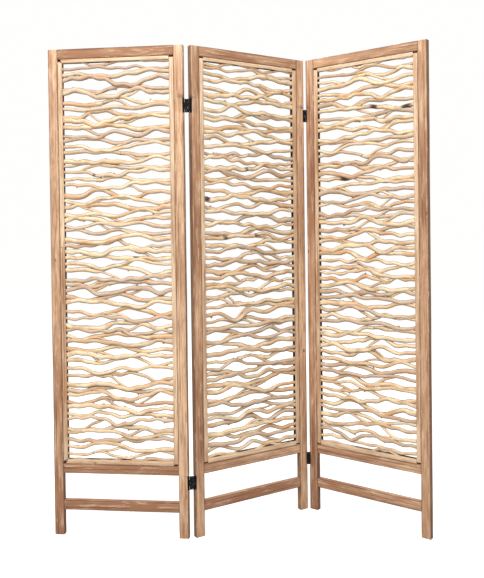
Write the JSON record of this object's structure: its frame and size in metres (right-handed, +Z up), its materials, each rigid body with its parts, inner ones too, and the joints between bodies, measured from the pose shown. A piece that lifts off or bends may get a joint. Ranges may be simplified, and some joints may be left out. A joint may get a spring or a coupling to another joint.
{
  "type": "folding room divider screen",
  "caption": "Free-standing folding room divider: hinged timber frames filled with rows of crooked peeled twigs, folding flat in a zig-zag.",
  "frame": {"origin": "centre of the bounding box of the standing screen, on the floor", "axes": "+Z up along the stiles, +X to the right as seen from the front, front towards -Y"},
  "size_m": [1.3126, 0.3032, 1.7],
  "materials": {
    "washed_pine": "brown-pink washed pine, matt, with darker streaks and worn edges",
    "bead_pine": "paler washed pine batten, matt",
    "peeled_twig": "peeled and dried branch, satin, cream to tan",
    "black_steel": "black lacquered steel, satin"
  },
  "bodies": {
    "middle_panel": {"left_lower_hinge_inner_leaf": "black_steel", "left_lower_hinge_inner_pin": "black_steel", "left_upper_hinge_inner_leaf": "black_steel", "left_upper_hinge_inner_pin": "black_steel", "middle_panel_bottom_rail": "washed_pine", "middle_panel_front_bead_bottom": "bead_pine", "middle_panel_front_bead_left": "bead_pine", "middle_panel_front_bead_right": "bead_pine", "middle_panel_front_bead_top": "bead_pine", "middle_panel_left_stile": "washed_pine", "middle_panel_rear_bead_left": "bead_pine", "middle_panel_rear_bead_right": "bead_pine", "middle_panel_right_stile": "washed_pine", "middle_panel_stretcher": "washed_pine", "middle_panel_top_rail": "washed_pine", "middle_panel_twigs": "peeled_twig", "right_lower_hinge_inner_leaf": "black_steel", "right_lower_hinge_inner_pin": "black_steel", "right_upper_hinge_inner_leaf": "black_steel", "right_upper_hinge_inner_pin": "black_steel"},
    "left_panel": {"left_lower_hinge_outer_leaf": "black_steel", "left_lower_hinge_outer_pin": "black_steel", "left_panel_bottom_rail": "washed_pine", "left_panel_front_bead_bottom": "bead_pine", "left_panel_front_bead_left_lower": "bead_pine", "left_panel_front_bead_left_upper": "bead_pine", "left_panel_front_bead_right": "bead_pine", "left_panel_front_bead_top": "bead_pine", "left_panel_left_stile": "washed_pine", "left_panel_rear_bead_left": "bead_pine", "left_panel_rear_bead_right": "bead_pine", "left_panel_right_stile": "washed_pine", "left_panel_stretcher": "washed_pine", "left_panel_top_rail": "washed_pine", "left_panel_twigs": "peeled_twig", "left_upper_hinge_outer_leaf": "black_steel", "left_upper_hinge_outer_pin": "black_steel"},
    "right_panel": {"right_lower_hinge_outer_leaf": "black_steel", "right_lower_hinge_outer_pin": "black_steel", "right_panel_bottom_rail": "washed_pine", "right_panel_front_bead_bottom": "bead_pine", "right_panel_front_bead_left": "bead_pine", "right_panel_front_bead_right": "bead_pine", "right_panel_front_bead_top": "bead_pine", "right_panel_left_stile": "washed_pine", "right_panel_rear_bead_left": "bead_pine", "right_panel_rear_bead_right": "bead_pine", "right_panel_right_stile": "washed_pine", "right_panel_stretcher": "washed_pine", "right_panel_top_rail": "washed_pine", "right_panel_twigs": "peeled_twig", "right_upper_hinge_outer_leaf": "black_steel", "right_upper_hinge_outer_pin": "black_steel"},
    "left_link": {"left_lower_hinge_link": "black_steel", "left_upper_hinge_link": "black_steel"},
    "right_link": {"right_lower_hinge_link": "black_steel", "right_upper_hinge_link": "black_steel"}
  },
  "joints": [
    {"name": "left_link_swing", "type": "hinge", "parent": "middle_panel", "child": "left_link", "pos_m": [-0.16043, -0.10499, 0], "axis": [0, 0, -1], "range_deg": [-63.7, 71.3]},
    {"name": "left_panel_swing", "type": "hinge", "parent": "left_link", "child": "left_panel", "pos_m": [-0.18054, -0.10948, 0], "axis": [0, 0, -1], "range_deg": [-63.7, 71.3]},
    {"name": "right_link_swing", "type": "hinge", "parent": "middle_panel", "child": "right_link", "pos_m": [0.24697, 0.14272, 0], "axis": [0, 0, -1], "range_deg": [-79, 56]},
    {"name": "right_panel_swing", "type": "hinge", "parent": "right_link", "child": "right_panel", "pos_m": [0.26755, 0.14175, 0], "axis": [0, 0, -1], "range_deg": [-79, 56]}
  ]
}
